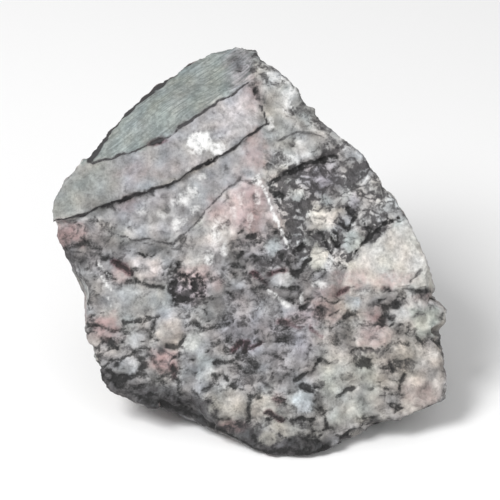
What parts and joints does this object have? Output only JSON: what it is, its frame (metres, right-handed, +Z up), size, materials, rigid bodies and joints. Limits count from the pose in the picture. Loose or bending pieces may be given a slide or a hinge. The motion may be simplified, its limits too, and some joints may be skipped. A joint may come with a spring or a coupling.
{
  "type": "aquascaping rock",
  "caption": "Broken block of grey veined marble breccia with a leaning main face, a layered upper ledge and a flat foot, for an aquarium layout.",
  "frame": {"origin": "on the flat foot, under the middle of the rock's bounding box", "axes": "+Z up from the foot, main face towards -Y, +X to the right as that face is seen"},
  "size_m": [0.149, 0.1316, 0.1159],
  "materials": {
    "stone": "rough broken marble breccia with dark veins and pink stains"
  },
  "bodies": {
    "root": {"rock": "stone"}
  },
  "joints": []
}
